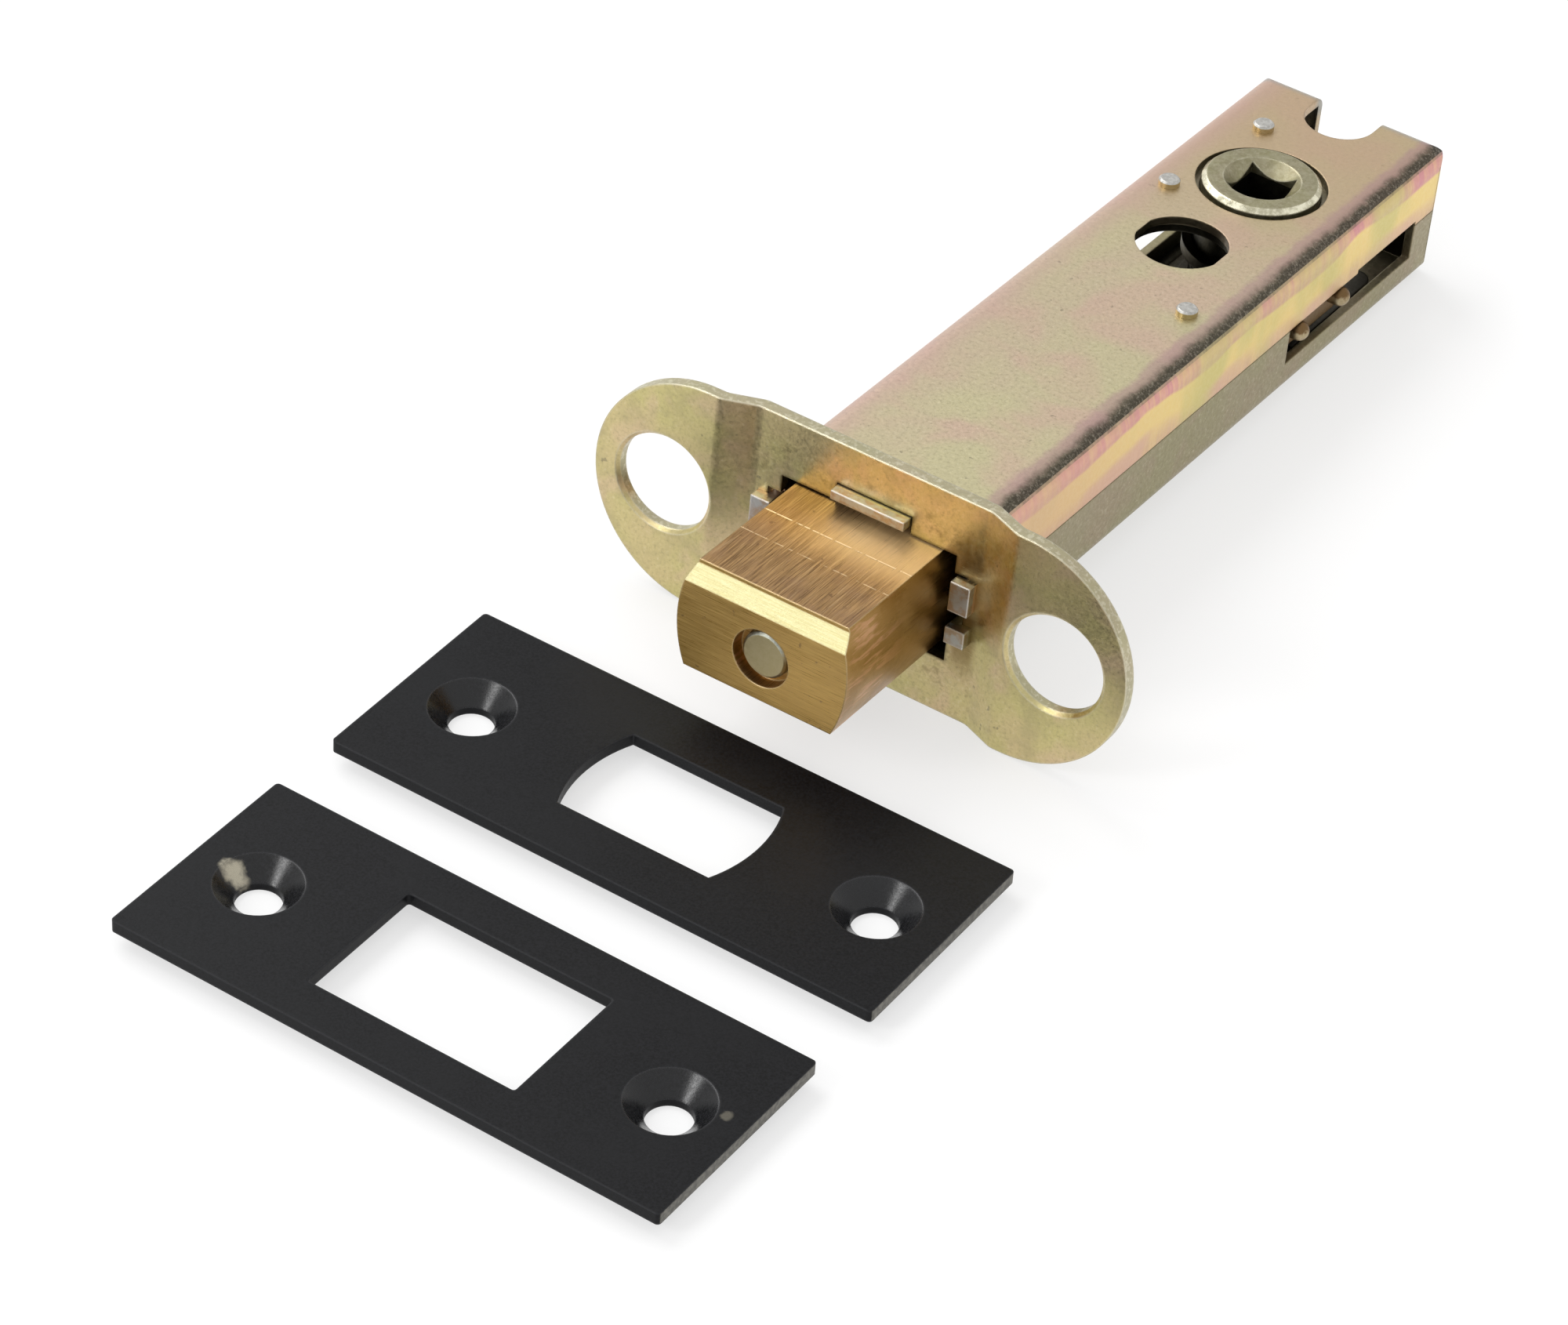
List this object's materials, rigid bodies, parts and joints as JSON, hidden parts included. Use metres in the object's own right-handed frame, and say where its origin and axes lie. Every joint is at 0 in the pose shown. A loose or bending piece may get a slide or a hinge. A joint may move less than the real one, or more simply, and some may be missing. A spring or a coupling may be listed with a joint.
{
  "type": "tubular deadbolt",
  "caption": "Tubular mortice deadbolt with the bolt thrown, its forend, and the black cover plate and strike plate lying beside it.",
  "frame": {"origin": "on the follower's axis, at mid-depth of the case", "axes": "+X along the forend, +Y from the bolt towards the tail of the case, +Z along the spindle"},
  "size_m": [0.0575, 0.1559, 0.0264],
  "materials": {
    "zinc_yellow": "yellow passivated zinc plating",
    "brass": "brushed",
    "black_plate": "satin black",
    "steel": "bright steel",
    "hard_steel": "hardened, dull"
  },
  "bodies": {
    "case": {"upper_shell": "zinc_yellow", "lower_shell": "zinc_yellow", "forend": "zinc_yellow", "cover_plate": "black_plate", "strike_plate": "black_plate", "upper_bearing_plate": "zinc_yellow", "lower_bearing_plate": "zinc_yellow", "upper_rivets": "steel", "lower_rivets": "steel", "friction_spring": "steel", "spring_rivet": "steel"},
    "bolt": {"bolt": "brass", "hardened_pin": "hard_steel", "slide": "zinc_yellow", "slide_pins": "steel", "guide_pins": "zinc_yellow", "side_plate": "zinc_yellow"},
    "follower": {"follower": "zinc_yellow", "drive_arm": "zinc_yellow", "drive_pin": "steel", "retaining_rings": "steel"}
  },
  "joints": [
    {"name": "bolt_throw", "type": "slide", "parent": "case", "child": "bolt", "axis": [0, 1, 0], "range_m": [0, 0.0126]},
    {"name": "follower_turn", "type": "hinge", "parent": "case", "child": "follower", "pos_m": [0, 0, 0], "axis": [0, 0, 1], "range_deg": [0, 108]}
  ],
  "couplings": [
    {"joint": "follower_turn", "follows": "bolt_throw", "rad_per_m": 149.24}
  ]
}
